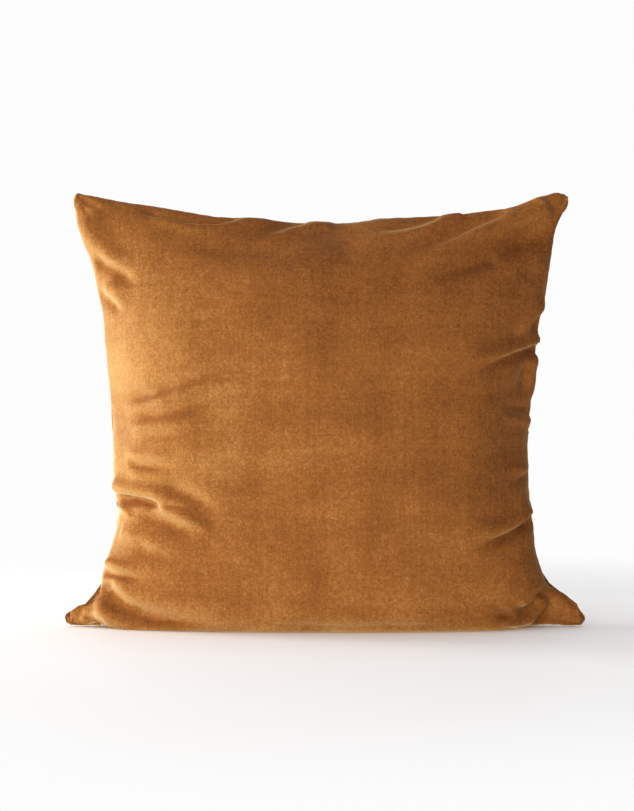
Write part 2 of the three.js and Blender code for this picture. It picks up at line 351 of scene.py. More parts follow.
cover = {
    "squares": 100,  # cloth squares across a panel
    "edgeRings": (0.0016, 0.0048),  # the outermost rows lie this near the seam
    "cut": (0.498, 0.462),  # the panel's width and length between seams, less what is eased into the seams
    "bulge": 0.100,
    "middle": 0.172,
    "sink": 0.053,
    "frames": 22,
    "pressure": 9.0,
    "stiffness": 30,
    "bending": 0.7,
    "thickness": 0.0012,
    "apart": 0.0022, "apartReach": 0.0014,  # the least half depth, and how fast it's reached from the seam
    "allowance": 0.008,
    "left": [(-247.5, 5), (-248.5, 9.5), (-245.5, 14), (-238, 18), (-229, 19.5), (-221, 20), (-216.5, 27),
             (-210, 54), (-202, 84), (-195.5, 108), (-196.5, 120), (-201, 137), (-202.5, 172), (-205, 215),
             (-208.5, 258), (-213.5, 303),
             (-221, 341), (-230.5, 374), (-236.5, 390), (-239.5, 402), (-238, 408)],
    "right": [(248, 7), (247.5, 11), (241, 20), (230, 29.5), (219, 34), (210.5, 37), (206, 48), (201, 70),
              (199, 92), (195.5, 112), (192.3, 135), (192.8, 160), (194.5, 185), (197, 215), (200.5, 250),
              (204, 285), (209, 315),
              (214, 350), (219, 376), (225, 392), (230.5, 402), (230.5, 408)],
    "top": [(-238, 408), (-235, 411.5), (-229, 411.5), (-215, 408), (-185, 402), (-150, 396.5), (-110, 390.5),
            (-70, 387), (-30, 385), (20, 384.5), (60, 387.5), (110, 389.5), (150, 393), (180, 398.5),
            (205, 406.5), (219, 411),
            (227, 411.5), (230.5, 408)],
    "bottom": [(-247.5, 5), (-244, 2.5), (-230, 2.2), (-200, 4), (-100, 4), (0, 4), (100, 4), (200, 4),
               (230, 2.2), (244, 2.8), (248, 7)],
}
seams = {side: curveThrough(cover[side]) for side in ("left", "right", "top", "bottom")}


def sewnCase(look, lines, name):
    # one closed case; each vertex keeps its place on the flat cloth
    count = look["squares"]
    bm = bmesh.new()
    across = bm.verts.layers.float.new("across")
    up = bm.verts.layers.float.new("up")
    side = bm.verts.layers.float.new("side")
    bmesh.ops.create_grid(bm, x_segments=count, y_segments=count, size=1.0)
    bmesh.ops.rotate(bm, verts=bm.verts[:], cent=(0, 0, 0), matrix=Matrix.Rotation(math.pi / 2, 3, "X"))
    for vertex in bm.verts:
        vertex[across] = vertex.co.x
        vertex[up] = vertex.co.z
        vertex[side] = -1
    made = bmesh.ops.duplicate(bm, geom=bm.verts[:] + bm.edges[:] + bm.faces[:])["geom"]
    backFaces = [item for item in made if isinstance(item, bmesh.types.BMFace)]
    for item in made:
        if isinstance(item, bmesh.types.BMVert):
            item[side] = 1
    bmesh.ops.reverse_faces(bm, faces=backFaces)
    rim = [v for v in bm.verts if v.is_boundary]
    bmesh.ops.remove_doubles(bm, verts=rim, dist=1e-4)
    mesh = bpy.data.meshes.new(name)
    bm.to_mesh(mesh)
    bm.free()
    case = bpy.data.objects.new(name, mesh)
    scene.collection.objects.link(case)

    u, v, s = (readLayer(mesh, layer) for layer in ("across", "up", "side"))
    near = np.array([r / (look["cut"][0] / 2) for r in look["edgeRings"]])
    cell = 2 / count
    rows = np.round((u + 1) / cell), np.round((v + 1) / cell)
    u, v = (spreadRows(row, count, near) for row in rows)
    onRim = (np.abs(u) > 1 - 1e-6) | (np.abs(v) > 1 - 1e-6)
    writeLayer(mesh, "across", u)
    writeLayer(mesh, "up", v)
    writeLayer(mesh, "side", np.where(onRim, 0, s))
    mesh.vertices.foreach_set("co", standing(look, lines, u, v, s, onRim).ravel())

    case.shape_key_add(name="Basis")
    flat = case.shape_key_add(name="flat")
    width, length = look["cut"]
    flat.data.foreach_set("co", np.stack([u * width / 2, 0 * u, v * length / 2], -1).ravel())
    held = case.vertex_groups.new(name="seam")
    held.add([int(i) for i in np.nonzero(onRim)[0]], 1.0, "REPLACE")
    return case, flat


def readLayer(mesh, name):
    values = np.empty(len(mesh.vertices))
    mesh.attributes[name].data.foreach_get("value", values)
    return values


def writeLayer(mesh, name, values):
    mesh.attributes[name].data.foreach_set("value", values.astype(np.float32))


def readPlaces(mesh):
    places = np.empty(len(mesh.vertices) * 3)
    mesh.vertices.foreach_get("co", places)
    return places.reshape(-1, 3)


def spreadRows(row, count, near):
    # even rows inside, with narrow rows beside the seam
    inner = -1 + near[1] + (row - 2) * (2 - 2 * near[1]) / (count - 4)
    spread = np.where(row == 0, -1, np.where(row == 1, -1 + near[0], inner))
    return np.where(row == count, 1, np.where(row == count - 1, 1 - near[0], spread))


def standing(look, lines, u, v, s, onRim):
    # a first rounded form that already stands on the floor
    across, rise = np.sin(u * np.pi / 2), np.sin(v * np.pi / 2)
    depth = look["bulge"] * np.cos(u * np.pi / 2) * np.cos(v * np.pi / 2)
    top = np.interp(across * 0.235, lines["top"][:, 0], lines["top"][:, 1])
    below = look["middle"] - look.get("floor", 0) + look["sink"] * (1 - across ** 4)
    z = look["middle"] + rise * np.where(rise > 0, top - look["middle"], below)
    z = np.maximum(z, look.get("floor", 0))
    edges = {}
    for side in ("left", "right"):
        order = np.argsort(lines[side][:, 1])
        edges[side] = np.interp(np.maximum(z, 0.016), lines[side][order, 1], lines[side][order, 0])
    x = np.where(across < 0, -across * edges["left"], across * edges["right"])
    places = np.stack([x, depth * s, z], -1)
    for side, chosen, share in (("left", u < -1 + 1e-6, v), ("right", u > 1 - 1e-6, v),
                                ("bottom", v < -1 + 1e-6, u), ("top", v > 1 - 1e-6, u)):
        points = alongCurve(lines[side], (share[chosen] + 1) / 2)
        places[chosen] = np.stack([points[:, 0], 0 * points[:, 0], points[:, 1]], -1)
    return places


def inflate(case, flat, look, smoothing=1):
    # the cloth's rest lengths are those of the flat cut panels, so its slack gathers beside the held seams
    cloth = case.modifiers.new("filling", "CLOTH")
    settings = cloth.settings
    settings.quality = 5
    settings.mass = 0.3
    settings.tension_stiffness = settings.compression_stiffness = look["stiffness"]
    settings.shear_stiffness = look["stiffness"] / 3
    settings.bending_stiffness = look["bending"]
    settings.tension_damping = settings.compression_damping = settings.shear_damping = 10
    settings.bending_damping = 1
    settings.air_damping = 2
    settings.use_pressure = True
    settings.uniform_pressure_force = look["pressure"]
    settings.vertex_group_mass = "seam"
    settings.pin_stiffness = 1
    settings.effector_weights.gravity = 0
    settings.rest_shape_key = flat
    cloth.collision_settings.use_collision = False
    cloth.point_cache.frame_start, cloth.point_cache.frame_end = 1, look["frames"]
    finer = case.modifiers.new("finer", "SUBSURF")
    finer.levels = finer.render_levels = smoothing
    for number in range(1, look["frames"] + 1):
        scene.frame_set(number)
    settled = bpy.data.meshes.new_from_object(case.evaluated_get(bpy.context.evaluated_depsgraph_get()))
    scene.frame_set(1)
    bpy.data.objects.remove(case, do_unlink=True)
    return settled


case, flat = sewnCase(cover, seams, "coverCase")
filled = inflate(case, flat, cover, smoothing=1)
print("cover filled out:", len(filled.vertices), "vertices")


# the base's middle, lifted off the floor
valley = {"lift": 0.0028, "inner": 0.006, "outer": 0.022, "ends": (0.212, 0.238)}


def pinRim(mesh, lines):
    # the smoothing pulls the sharp edge in, so the seam goes back on its line
    places, u, v = readPlaces(mesh), readLayer(mesh, "across"), readLayer(mesh, "up")
    for edge, chosen, share in (("left", u < -1 + 1e-5, v), ("right", u > 1 - 1e-5, v),
                                ("bottom", v < -1 + 1e-5, u), ("top", v > 1 - 1e-5, u)):
        points = alongCurve(lines[edge], (share[chosen] + 1) / 2)
        places[chosen] = np.stack([points[:, 0], 0 * points[:, 0], points[:, 1]], -1)
    moveTo(mesh, places)


def outwardOf(mesh):
    outward = np.empty(len(mesh.vertices) * 3)
    mesh.vertices.foreach_get("normal", outward)
    return outward.reshape(-1, 3)


def moveTo(mesh, places):
    mesh.vertices.foreach_set("co", places.ravel())
    mesh.update()


def soften(mesh, factor, times, reach=None, corner=None):
    # evens the cloth out; with a reach, only that near the seam; with a corner, only the bottom corners
    bm = bmesh.new()
    bm.from_mesh(mesh)
    across, up, side = (bm.verts.layers.float[layer] for layer in ("across", "up", "side"))
    verts = [v for v in bm.verts if abs(v[side]) > 0.5]
    if reach is not None:
        verts = [v for v in verts if max(abs(v[across]), abs(v[up])) > 1 - reach]
    if corner is not None:
        verts = [v for v in verts if abs(v[across]) > corner[0] and v[up] < -corner[1]]
    for number in range(times):
        bmesh.ops.smooth_vert(bm, verts=verts, factor=factor,
                              use_axis_x=True, use_axis_y=True, use_axis_z=True)
    bm.to_mesh(mesh)
    bm.free()


def settle(mesh, halfDepth, floor=0.0, sink=0.010):
    # the floor flattens the underside, and the depth is the CAD's
    places = readPlaces(mesh)
    lowest, highest = places[:, 1].min(), places[:, 1].max()
    places[:, 1] *= 2 * halfDepth / (highest - lowest)
    z = places[:, 2] - floor
    z = z - sink * (1 - smoothStep(0.0, 0.15, z)) * (1 - smoothStep(0.18, 0.21, np.abs(places[:, 0])))
    soft = 0.0013
    z = soft * np.logaddexp(0, z / soft)
    places[:, 2] = z - z.min() + floor
    moveTo(mesh, places)


def valleyAt(x, y):
    ends = 1 - smoothStep(*valley["ends"], np.abs(x))
    return valley["lift"] * (1 - smoothStep(valley["inner"], valley["outer"], np.abs(y))) * ends


def liftValley(mesh):
    places = readPlaces(mesh)
    low = 1 - smoothStep(0.004, 0.02, places[:, 2])
    places[:, 2] = np.maximum(places[:, 2], valleyAt(places[:, 0], places[:, 1]) * low)
    moveTo(mesh, places)


def fold(high, wide, fade, *line):
    # how far it stands out and its half width, in millimetres; the share of its line over which each end dies
    # away; and the points of the line, across and up, as the cover is seen square on
    return {"high": high, "wide": wide, "fade": fade, "line": line}


frontFolds = [
    # from the top right corner
    fold(9.0, 9.0, (0.06, 0.55), (214, 404), (192, 391), (162, 380), (132, 367), (103, 353), (70, 336)),
    fold(-11.0, 11.0, (0.30, 0.6), (218, 384), (204, 374), (177, 361), (150, 350), (118, 339)),
    fold(-4.5, 6.0, (0.1, 0.5), (170, 352), (146, 345), (120, 337), (92, 326)),
    fold(4.6, 7.0, (0.05, 0.6), (132, 394), (115, 385), (97, 377), (73, 371), (44, 367), (20, 362)),
    fold(-5.0, 7.5, (0.15, 0.5), (176, 396), (138, 379), (109, 367), (73, 356)),
    fold(-3.0, 5.0, (0.1, 0.5), (112, 392), (88, 384), (58, 379), (30, 378)),
    fold(-3.0, 7.0, (0.2, 0.5), (206, 345), (192, 332), (180, 312), (176, 290)),
    fold(3.0, 8.0, (0.2, 0.5), (199, 330), (186, 318), (166, 302)),
    # along the top
    fold(4.2, 5.0, (0.15, 0.3), (-170, 389), (-149, 384), (-128, 379), (-104, 379), (-74, 383),
         (-44, 382), (-24, 380)),
    fold(-5.0, 4.2, (0.2, 0.3), (-182, 398), (-154, 391), (-129, 387), (-104, 386), (-72, 388)),
    fold(4.0, 5.0, (0.45, 0.2), (-72, 362), (-52, 368), (-36, 374), (-16, 379), (17, 383)),
    fold(-3.0, 4.5, (0.4, 0.2), (-58, 375), (-38, 380), (-14, 385)),
    fold(-2.6, 9.0, (0.4, 0.4), (-170, 372), (-120, 362), (-60, 358), (0, 362)),
    # the left side, from the top down
    fold(7.5, 11.0, (0.15, 0.35), (-230, 392), (-216, 368), (-200, 350), (-186, 336)),
    fold(5.0, 9.0, (0.3, 0.4), (-212, 328), (-196, 316), (-184, 306)),
    fold(-5.5, 6.0, (0.15, 0.4), (-221, 347), (-204, 342), (-190, 332), (-178, 322)),
    fold(-4.0, 5.0, (0.1, 0.4), (-216, 318), (-204, 309), (-194, 296)),
    fold(-4.2, 5.5, (0.2, 0.5), (-190, 214), (-160, 225), (-129, 236), (-98, 246)),
    fold(4.2, 6.0, (0.2, 0.5), (-194, 205), (-152, 216), (-124, 227), (-83, 242)),
    fold(-4.2, 5.5, (0.2, 0.5), (-186, 198), (-143, 206), (-119, 214), (-88, 223)),
    fold(3.4, 6.0, (0.2, 0.5), (-190, 187), (-150, 194), (-112, 202)),
    fold(-3.0, 5.0, (0.3, 0.5), (-180, 178), (-150, 182), (-122, 186)),
    fold(-4.0, 4.0, (0.15, 0.5), (-188, 156), (-167, 153), (-142, 154)),
    fold(3.4, 5.5, (0.2, 0.5), (-192, 165), (-167, 162), (-135, 163)),
    fold(3.0, 6.0, (0.2, 0.5), (-190, 146), (-165, 143), (-136, 142)),
    # the long crease low on the left, with the lips above and below it
    fold(-13.0, 3.4, (0.0, 0.30), (-206, 123.5), (-190, 121.5), (-178, 119), (-164, 115.5), (-150, 111)),
    fold(7.0, 6.5, (0.0, 0.5), (-206, 134), (-188, 132), (-166, 128), (-142, 121), (-112, 108)),
    fold(6.0, 4.6, (0.35, 0.4), (-186, 112), (-164, 115), (-148, 110), (-130, 103), (-114, 94),
         (-104, 84)),
    fold(-6.0, 7.5, (0.25, 0.5), (-160, 133), (-138, 126), (-118, 117), (-96, 104)),
    fold(-5.0, 7.0, (0.2, 0.5), (-180, 108), (-164, 103), (-142, 94), (-118, 80)),
    fold(4.4, 3.4, (0.1, 0.5), (-205, 116), (-194, 116), (-187, 109), (-184, 98)),
    fold(3.6, 8.0, (0.1, 0.5), (-196, 92), (-170, 82), (-140, 70)),
    fold(-3.0, 8.0, (0.2, 0.5), (-186, 78), (-160, 68), (-128, 60)),
    fold(-5.0, 3.6, (0.0, 0.5), (-218, 54), (-202, 50), (-184, 46), (-168, 44)),
    fold(4.2, 4.6, (0.0, 0.6), (-214, 62), (-198, 58), (-174, 55)),
    fold(-7.5, 7.5, (0.05, 0.4), (-213, 40), (-204, 30), (-190, 18), (-168, 8), (-140, 3), (-100, 2)),
    fold(4.0, 7.0, (0.2, 0.3), (-215, 30), (-210, 14), (-200, 4), (-184, -1)),
    fold(2.6, 13.0, (0.3, 0.4), (-186, 36), (-156, 24), (-112, 19), (-70, 18)),
    fold(3.0, 4.0, (0.2, 0.3), (-223, 18), (-229, 10), (-226, 4)),
    fold(-2.0, 3.0, (0.2, 0.3), (-228, 15), (-236, 12), (-242, 8)),
    # the right side, from the top down
    fold(5.0, 4.6, (0.0, 0.5), (212, 309), (204, 300), (195, 288), (182, 273)),
    fold(-5.0, 4.6, (0.0, 0.5), (212, 299), (204, 290), (192, 277)),
    fold(6.0, 5.0, (0.0, 0.5), (210, 275), (187, 268), (168, 261), (151, 255), (126, 249)),
    fold(-7.0, 4.6, (0.0, 0.5), (208, 266), (186, 259), (169, 253), (146, 246)),
    fold(-3.6, 6.0, (0.2, 0.5), (192, 282), (168, 272), (140, 266)),
    fold(4.4, 4.2, (0.2, 0.3), (204, 262), (198, 248), (198, 228), (190, 212)),
    fold(-4.4, 5.5, (0.2, 0.4), (194, 252), (189, 236), (187, 222)),
    fold(-6.0, 4.4, (0.0, 0.6), (202, 204), (184, 207), (162, 211)),
    fold(4.2, 5.0, (0.0, 0.6), (202, 195), (186, 197), (164, 200)),
    fold(-4.6, 3.6, (0.0, 0.6), (198, 146), (188, 141), (176, 135)),
    fold(3.0, 4.6, (0.0, 0.6), (198, 155), (186, 150), (170, 146)),
    fold(6.5, 5.0, (0.0, 0.5), (203, 117), (192, 106), (182, 98), (167, 91), (140, 81)),
    fold(-8.5, 4.6, (0.0, 0.5), (203, 108), (193, 97), (183, 90), (167, 82), (138, 72)),
    fold(-4.0, 6.5, (0.2, 0.5), (190, 118), (170, 106), (140, 97)),
    # round the right bottom corner
    fold(-7.0, 4.0, (0.0, 0.4), (208, 33), (201, 22), (191, 13), (180, 8)),
    fold(-5.0, 4.0, (0.2, 0.5), (193, 20), (176, 11), (154, 6)),
    fold(4.0, 4.0, (0.1, 0.3), (212, 28), (200, 12), (184, 3), (164, -1)),
    fold(-2.6, 4.0, (0.2, 0.3), (218, 26), (208, 12), (196, 4)),
    fold(2.2, 5.0, (0.3, 0.3), (214, 31), (226, 24), (238, 12)),
    fold(4.0, 8.0, (0.3, 0.5), (186, 46), (164, 32), (132, 22)),
    fold(2.6, 7.0, (0.3, 0.3), (-60, 9), (0, 7), (70, 8), (130, 10)),
    fold(-3.0, 5.0, (0.3, 0.3), (-70, -3), (0, -4), (80, -3), (140, -1)),
]
backFolds = [
    fold(4.6, 7.0, (0.05, 0.5), (214, 398), (186, 384), (150, 366), (104, 345)),
    fold(-5.0, 7.0, (0.05, 0.5), (-222, 392), (-196, 372), (-160, 352), (-120, 338)),
    fold(4.0, 6.0, (0.05, 0.5), (-214, 404), (-188, 390), (-150, 374), (-108, 360)),
    fold(-3.2, 5.0, (0.0, 0.5), (206, 292), (180, 284), (150, 280), (118, 282)),
    fold(3.0, 6.0, (0.0, 0.5), (206, 278), (178, 271), (146, 268), (110, 272)),
    fold(-5.6, 4.2, (0.0, 0.5), (-204, 124), (-184, 118), (-158, 108), (-130, 92)),
    fold(4.0, 6.0, (0.0, 0.5), (-204, 136), (-180, 131), (-150, 121), (-118, 104)),
    fold(-4.4, 4.6, (0.0, 0.5), (202, 112), (182, 98), (160, 88), (132, 82)),
    fold(3.4, 6.0, (0.0, 0.5), (202, 124), (178, 112), (152, 102), (120, 96)),
    fold(-5.0, 6.0, (0.05, 0.4), (214, 40), (200, 24), (174, 10), (140, 4)),
    fold(-5.0, 6.0, (0.05, 0.4), (-214, 40), (-198, 26), (-170, 12), (-134, 5)),
    fold(-2.4, 5.0, (0.2, 0.4), (-120, 384), (-90, 376), (-52, 372), (-16, 374)),
    fold(2.4, 5.0, (0.2, 0.4), (40, 380), (72, 376), (110, 380), (140, 386)),
]
ears = [  # the flat bottom corners, each beyond a crease running down from the side seam
    {"hand": 1, "line": [(209, 41), (207.5, 34), (203, 25), (194, 13), (182, 2), (168, -8)], "thin": 0.30,
     "reach": 14, "height": (0.034, 0.044), "crease": 3.0, "creaseWide": 3.6},
    {"hand": -1, "line": [(-218, 28), (-219.5, 20), (-221, 12), (-219, 3), (-208, -3), (-194, -8)],
     "thin": 0.45, "reach": 8, "height": (0.020, 0.028), "crease": 2.6, "creaseWide": 3.4},
]
slack = {"seed": 11, "waves": 9, "high": 0.0011, "shortest": 0.05, "longest": 0.16}
seamWork = {"sink": 0.0019, "sinkWide": 0.0026, "pucker": 0.00045, "puckerPitch": 0.0115,
            "puckerReach": 0.010}


def lineGap(line, x, z):
    # how far each point lies to the left of the line, its share of the way along, and the line's nearest point
    best = np.full(len(x), 1e9)
    signed, share, nearX, nearZ = (np.zeros(len(x)) for number in range(4))
    lengths = np.linalg.norm(np.diff(line, axis=0), axis=1)
    run = 0.0
    for (ax, az), (bx, bz), length in zip(line[:-1], line[1:], lengths):
        t = np.clip(((x - ax) * (bx - ax) + (z - az) * (bz - az)) / length ** 2, 0, 1)
        footX, footZ = ax + t * (bx - ax), az + t * (bz - az)
        gap = np.hypot(x - footX, z - footZ)
        nearer = gap < best
        turn = np.sign((bx - ax) * (z - az) - (bz - az) * (x - ax))
        best = np.where(nearer, gap, best)
        signed = np.where(nearer, gap * turn, signed)
        share = np.where(nearer, (run + t * length) / lengths.sum(), share)
        nearX, nearZ = np.where(nearer, footX, nearX), np.where(nearer, footZ, nearZ)
        run += length
    return signed, share, nearX, nearZ


def holdOutline(mesh, lines, spill):
    # the cloth may bulge only a little past its seam, or it would hide the outline's hollows
    places = readPlaces(mesh)
    spill = spill * np.where(readLayer(mesh, "side") > 0, 0.45, 1)  # the back shows less past the seam
    for edge, inside in (("left", -1), ("right", 1), ("top", -1)):
        line = lines[edge]
        gap, share, nearX, nearZ = lineGap(line[::2], places[:, 0], places[:, 2])
        over = np.maximum(-gap * inside, 0)
        kept = spill * (1 - np.exp(-over / spill))
        scale = np.where(over > 1e-6, kept / np.maximum(over, 1e-9), 1)
        moved = (over > 1e-6) & (over < 0.04)
        places[moved, 0] = (nearX + (places[:, 0] - nearX) * scale)[moved]
        places[moved, 2] = (nearZ + (places[:, 2] - nearZ) * scale)[moved]
    moveTo(mesh, places)


def foldLift(folds, x, z):
    lift = np.zeros(len(x))
    for fold in folds:
        gap, share, nearX, nearZ = lineGap(curveThrough(fold["line"], 5), x, z)
        start, end = fold["fade"]
        strength = smoothStep(-1e-6, max(start, 1e-6), share) * smoothStep(0, max(end, 1e-6), 1 - share)
        lift += fold["high"] / 1000 * np.exp(-(gap * 1000 / fold["wide"]) ** 2) * strength
    return lift


def facePlace(places):
    # where each point of the cloth lies when the cover is seen square on from the front
    centre = np.array(room["cameraPlace"])
    size = -centre[1] / (places[:, 1] - centre[1])
    return centre[0] + (places[:, 0] - centre[0]) * size, centre[2] + (places[:, 2] - centre[2]) * size


def flattenEars(mesh):
    places, side, outward = readPlaces(mesh), readLayer(mesh, "side"), outwardOf(mesh)
    frontX, frontZ = facePlace(places)
    x = np.where(side < 0, frontX, places[:, 0])
    z = np.where(side < 0, frontZ, places[:, 2])
    for ear in ears:
        gap, share, nearX, nearZ = lineGap(curveThrough(ear["line"], 5), x, z)
        low = (1 - smoothStep(*ear["height"], z)) * (np.abs(places[:, 0]) > 0.15)
        inEar = smoothStep(-0.003, ear["reach"] / 1000, gap * ear["hand"]) * low
        places[:, 1] *= 1 - (1 - ear["thin"]) * inEar
        crease = ear["crease"] / 1000 * np.exp(-(gap * 1000 / ear["creaseWide"]) ** 2) * low
        places -= outward * (crease * np.abs(side))[:, None]
    places[:, 2] = np.maximum(places[:, 2], 0)
    moveTo(mesh, places)


def pressFolds(mesh):
    places, side, outward = readPlaces(mesh), readLayer(mesh, "side"), outwardOf(mesh)
    frontX, frontZ = facePlace(places)
    sight = places - np.array(room["cameraPlace"])
    sight /= np.linalg.norm(sight, axis=1)[:, None]
    # folds die away where the cloth turns edge on
    shown = smoothStep(0.06, 0.42, -(sight * outward).sum(axis=1))
    lift = foldLift(frontFolds, frontX, frontZ) * np.clip(-side, 0, 1) * shown
    shown = smoothStep(0.06, 0.42, outward[:, 1])
    lift += foldLift(backFolds, places[:, 0], places[:, 2]) * np.clip(side, 0, 1) * shown

    chance = random.Random(slack["seed"])
    for number in range(slack["waves"]):
        length = chance.uniform(slack["shortest"], slack["longest"])
        angle, phase = chance.uniform(0, math.pi), chance.uniform(0, 2 * math.pi)
        run = places[:, 0] * math.cos(angle) + places[:, 2] * math.sin(angle) + side * 0.07
        lift += slack["high"] / math.sqrt(slack["waves"]) * np.sin(2 * math.pi * run / length + phase)
    standing = smoothStep(0.0, 0.008, places[:, 2])
    before = np.abs(places[:, 1])
    places += outward * (lift * (0.15 + 0.85 * standing))[:, None]
    places[:, 2] = np.maximum(places[:, 2], 0)
    apart = np.minimum(before, np.maximum(0.0045, before * 0.35))  # a fold never reaches the other panel
    pressed = np.abs(side) > 0.5
    places[pressed, 1] = (side * np.maximum(places[:, 1] * side, apart))[pressed]
    moveTo(mesh, places)


def drawInSeam(mesh, look):
    # the stitches draw the seam in between two soft lips, and pucker the cloth beside it
    places, side, outward = readPlaces(mesh), readLayer(mesh, "side"), outwardOf(mesh)
    u, v = readLayer(mesh, "across"), readLayer(mesh, "up")
    width, length = look["cut"]
    beside, above = (1 - np.abs(u)) * width / 2, (1 - np.abs(v)) * length / 2
    away = np.minimum(beside, above)
    run = np.where(beside < above, v * length / 2, u * width / 2)
    fromCorner = np.hypot(beside, above)
    sink = seamWork["sink"] * np.exp(-(away / seamWork["sinkWide"]) ** 2)
    sink = sink * smoothStep(0.004, 0.03, fromCorner)
    beat = 2 * math.pi * run / seamWork["puckerPitch"] + 1.4 * np.sin(run * 61) + side * 0.9
    swell = 0.5 + 0.5 * np.sin(run * 37 + 1.3 + side) * np.sin(run * 23 + 0.4)
    pucker = seamWork["pucker"] * np.sin(beat) * swell
    pucker = pucker * np.exp(-away / seamWork["puckerReach"]) * np.abs(side)
    places += outward * (pucker - sink)[:, None]
    places[:, 2] = np.maximum(places[:, 2], 0)
    moveTo(mesh, places)


def partSides(mesh, look):
    # the two panels stay a cloth's thickness apart, in the flat corners too
    places, side = readPlaces(mesh), readLayer(mesh, "side")
    u, v = readLayer(mesh, "across"), readLayer(mesh, "up")
    away = np.minimum((1 - np.abs(u)) * look["cut"][0] / 2, (1 - np.abs(v)) * look["cut"][1] / 2)
    least = look["apart"] * (1 - np.exp(-away / look["apartReach"]))
    inner = np.abs(side) > 0.25
    hand = np.sign(side)
    places[inner, 1] = (hand * np.maximum(places[:, 1] * hand, least))[inner]
    moveTo(mesh, places)


pinRim(filled, seams)
soften(filled, 0.5, 3, reach=0.05)
soften(filled, 0.5, 10, corner=(0.80, 0.86))
settle(filled, 0.098)
holdOutline(filled, seams, 0.0022)
flattenEars(filled)
soften(filled, 0.5, 2)
pressFolds(filled)
holdOutline(filled, seams, 0.0026)
drawInSeam(filled, cover)
partSides(filled, cover)
liftValley(filled)
print("folds pressed in and seam drawn in")

opening = {"left": -0.2095, "right": 0.203, "half": 0.005, "ease": 0.030, "taper": 0.0055,
           "hemTop": 0.0058, "hemReach": 0.0098}


def openingHalf(x):
    fromLeft, fromRight = x - opening["left"], opening["right"] - x
    return opening["half"] * smoothStep(0, opening["taper"], fromLeft) * smoothStep(0, opening["taper"], fromRight)


def cornersOf(mesh):
    u, v, places = readLayer(mesh, "across"), readLayer(mesh, "up"), readPlaces(mesh)
    return places[(np.abs(u) > 1 - 1e-5) & (np.abs(v) > 1 - 1e-5)]


def panelFrom(mesh, which, name, material, allowance, slotted=True, split=0.00015):
    # half of a closed case, with its seam allowance turned in and the hems of the zip opening
    bm = bmesh.new()
    bm.from_mesh(mesh)
    across, up, side = (bm.verts.layers.float[layer] for layer in ("across", "up", "side"))
    otherHalf = [f for f in bm.faces if sum(v[side] for v in f.verts) * which < 0]
    bmesh.ops.delete(bm, geom=otherHalf, context="FACES")
    if slotted:  # the cloth beside the opening is drawn apart
        for vertex in bm.verts:
            x, y, z = vertex.co
            if z < 0.02 and abs(y) < opening["ease"]:
                half = float(openingHalf(np.float64(x)))
                vertex.co.y = which * (half + abs(y) * (1 - half / opening["ease"]))
    rim = {v for v in bm.verts if v.is_boundary}
    inward, hem = {}, {}
    for vertex in rim:
        beside = [e.other_vert(vertex) for e in vertex.link_edges if e.is_boundary]
        upright = abs(vertex[across]) > abs(vertex[up])
        beside.sort(key=lambda v: v[up] if upright else v[across])
        run = beside[-1].co - beside[0].co
        toRight = (vertex[across] < 0) if upright else (vertex[up] > 0)
        inward[vertex] = Vector((run.z, 0, -run.x)).normalized() * (1 if toRight else -1)
        onBase = slotted and vertex[up] < -0.999
        hem[vertex] = float(openingHalf(np.float64(vertex.co.x))) / opening["half"] if onBase else 0.0
        if hem[vertex] < 0.02:
            vertex.co.y = which * split
    rimEdges = [e for e in bm.edges if e.is_boundary]
    tips = [Vector(corner) for corner in cornersOf(mesh)]
    for step in range(2):
        made = bmesh.ops.extrude_edge_only(bm, edges=rimEdges)["geom"]
        newVerts = {v for v in made if isinstance(v, bmesh.types.BMVert)}
        partner = {}
        for edge in bm.edges:
            a, b = edge.verts
            if a in newVerts and b in inward and b not in newVerts:
                partner[a] = b
            elif b in newVerts and a in inward and a not in newVerts:
                partner[b] = a
        for vertex, old in partner.items():
            share = hem[old]
            near = min((vertex.co - tip).length for tip in tips)
            reach = allowance / 2 * float(smoothStep(0.020, 0.075, near)) + 0.0002
            move = inward[old] * reach * (1 - share)
            if step == 0:
                move += Vector((0, 0, opening["hemTop"] - vertex.co.z)) * share
            else:
                move += Vector((0, which * opening["hemReach"], 0)) * share
            vertex.co += move
            inward[vertex], hem[vertex] = inward[old], share
        rimEdges = [e for e in made if isinstance(e, bmesh.types.BMEdge) and e.is_boundary
                    and e.verts[0] in newVerts and e.verts[1] in newVerts]
    bmesh.ops.recalc_face_normals(bm, faces=bm.faces[:])
    centre = max(bm.faces, key=lambda f: f.calc_center_median().y * which)
    if centre.normal.y * which < 0:
        bmesh.ops.reverse_faces(bm, faces=bm.faces[:])
    return objectFrom(bm, name, material)


def clothWall(panel, thickness):
    wall = panel.modifiers.new("cloth", "SOLIDIFY")
    wall.thickness = thickness
    wall.offset = -1


frontPanel = panelFrom(filled, -1, "cover_front", velvetCloth, cover["allowance"])
backPanel = panelFrom(filled, 1, "cover_back", velvetCloth, cover["allowance"])
for panel, cadName in ((frontPanel, "cover_front_panel"), (backPanel, "cover_back_panel")):
    clothWall(panel, cover["thickness"])
    finishPiece(panel, cadName)
print("cover panels cut, hemmed and turned in")


# ---- plain materials of the smaller pieces

smallLooks = {
    "cambric": {"colour": (0.80, 0.79, 0.76), "second": (0.69, 0.68, 0.65), "weave": 1500, "rough": 0.9},
    "tape": {"colour": (0.30, 0.125, 0.035), "second": (0.20, 0.078, 0.020), "weave": 1100, "rough": 0.85},
    "satin": {"colour": (0.86, 0.85, 0.82), "second": (0.76, 0.75, 0.72), "weave": 2600, "rough": 0.42},
}


